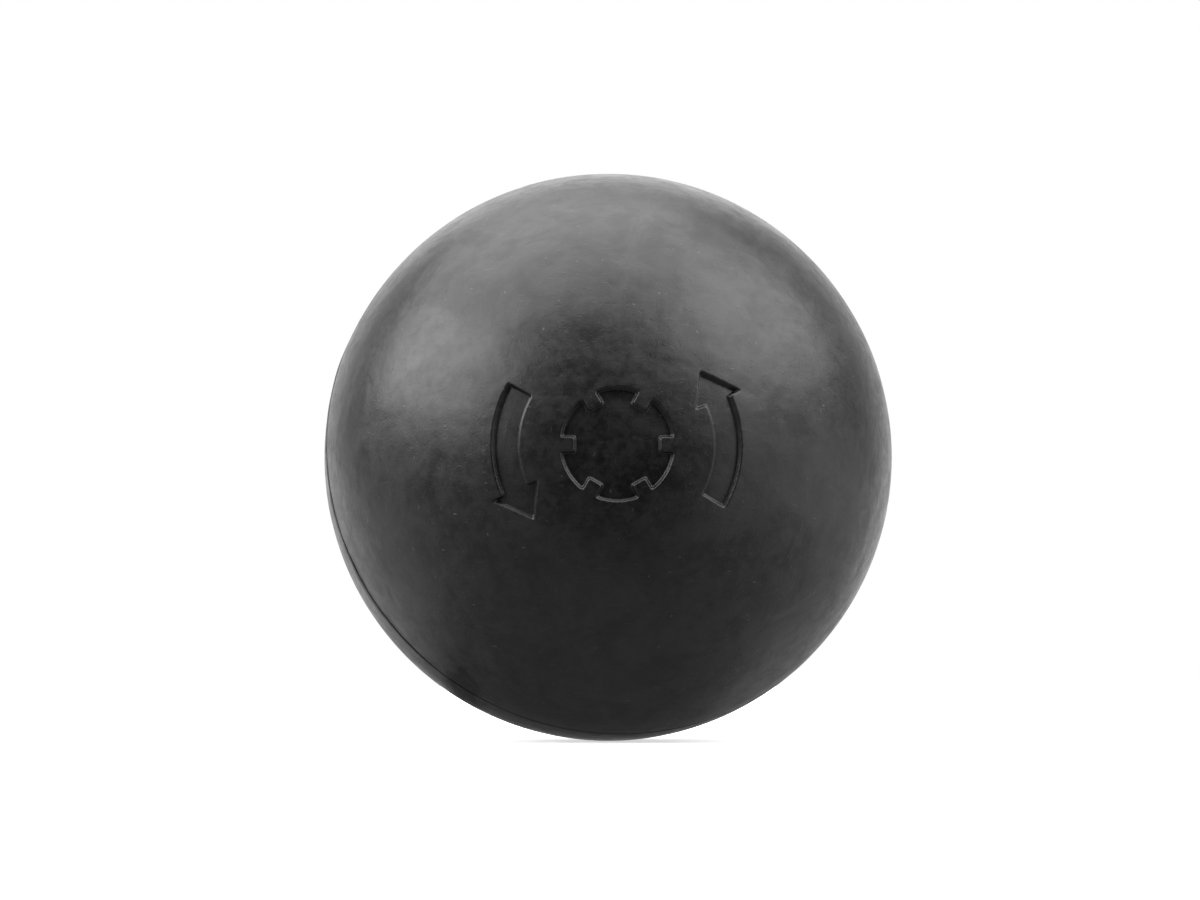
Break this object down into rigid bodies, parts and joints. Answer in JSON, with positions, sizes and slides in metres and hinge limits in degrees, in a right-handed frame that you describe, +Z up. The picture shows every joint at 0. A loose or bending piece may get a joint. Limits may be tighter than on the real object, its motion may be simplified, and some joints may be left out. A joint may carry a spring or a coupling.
{
  "type": "case opening friction ball",
  "caption": "Hollow black rubber ball, air-filled through a needle valve, that grips a watch's screw case back to turn it; a turning emblem is moulded into the front.",
  "frame": {"origin": "centre of the ball", "axes": "+Z up and towards the palm, -Y out through the middle of the moulded emblem, +Y along the valve's axis and out of its mouth"},
  "size_m": [0.065, 0.064, 0.065],
  "materials": {
    "shell_rubber": "satin black moulded rubber with a faint cloudy bloom",
    "cement": "matt black rubber cement",
    "bladder_butyl": "matt dark butyl rubber",
    "valve_rubber": "satin dark grey soft rubber"
  },
  "bodies": {
    "ball": {"front_shell": "shell_rubber", "rear_shell": "shell_rubber", "seam_cement": "cement", "bladder": "bladder_butyl", "valve_boot": "bladder_butyl", "valve_patch": "bladder_butyl"},
    "insert": {"valve_insert": "valve_rubber"}
  },
  "joints": [
    {"name": "valve_insert_pull", "type": "slide", "parent": "ball", "child": "insert", "axis": [0, 1, 0], "range_m": [0, 0.016]}
  ]
}
